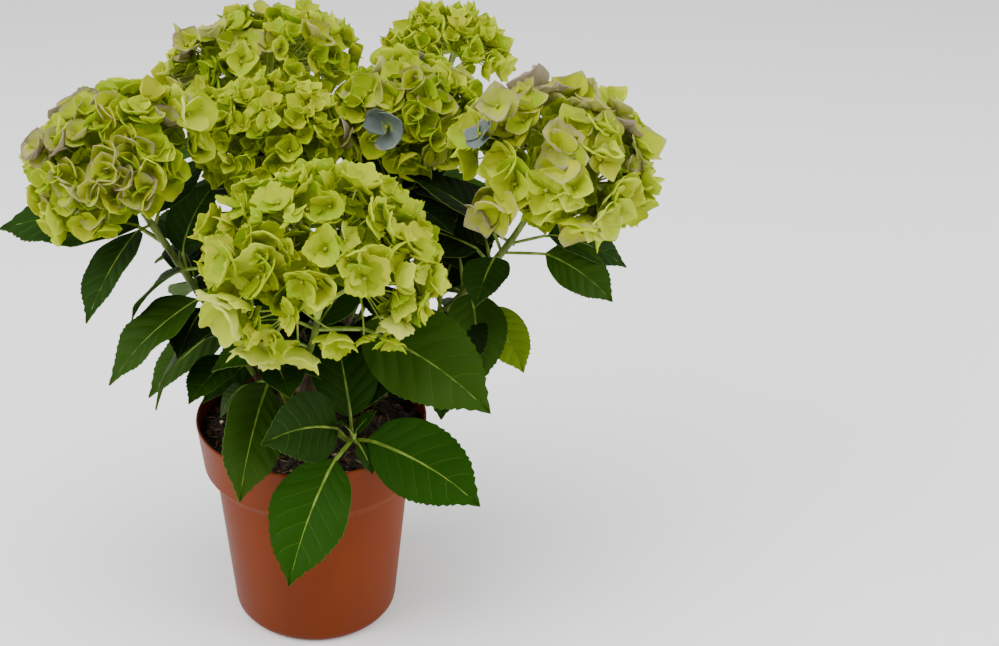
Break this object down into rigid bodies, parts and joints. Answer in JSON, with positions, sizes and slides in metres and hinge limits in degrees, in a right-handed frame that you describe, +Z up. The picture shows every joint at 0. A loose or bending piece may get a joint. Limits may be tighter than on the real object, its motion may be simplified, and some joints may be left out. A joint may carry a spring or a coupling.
{
  "type": "potted mophead hydrangea shrub",
  "caption": "Compact mophead hydrangea in a round nursery pot: a short woody trunk, fanning shoots, broad toothed leaves and domed lime and mauve flower heads.",
  "frame": {"origin": "centre of the flat underside of the pot", "axes": "+Z up along the pot's axis, -Y towards the plant's front, +X to the right seen from the front"},
  "size_m": [0.366, 0.294, 0.3629],
  "materials": {
    "pot": "matt terracotta-coloured moulded plastic",
    "soil": "damp dark peat with fibres",
    "bark": "thin flaking brown bark",
    "stem": "green to straw-brown young wood",
    "leaf": "dark green, slightly glossy leaf with paler veins",
    "blossom": "lime green sepals with mauve and grey-blue tints"
  },
  "bodies": {
    "root": {"pot": "pot", "soil": "soil", "trunk": "bark", "bough_back_left": "stem", "bough_back_low_left": "stem", "bough_back_low_right": "stem", "bough_back_right": "stem", "bough_front": "stem", "bough_front_left_low": "stem", "bough_front_low": "stem", "bough_left": "stem", "bough_middle": "stem", "bough_middle_right": "stem", "bough_right": "stem", "bough_side_left": "stem", "bough_side_right": "stem", "foliage_back_left": "leaf", "foliage_back_low_left": "leaf", "foliage_back_low_right": "leaf", "foliage_back_right": "leaf", "foliage_front": "leaf", "foliage_front_left_low": "leaf", "foliage_front_low": "leaf", "foliage_left": "leaf", "foliage_middle": "leaf", "foliage_middle_right": "leaf", "foliage_right": "leaf", "foliage_side_left": "leaf", "foliage_side_right": "leaf", "bloom_back_left": "blossom", "bloom_back_right": "blossom", "bloom_front": "blossom", "bloom_left": "blossom", "bloom_middle": "blossom", "bloom_middle_right": "blossom", "bloom_right": "blossom"}
  },
  "joints": []
}
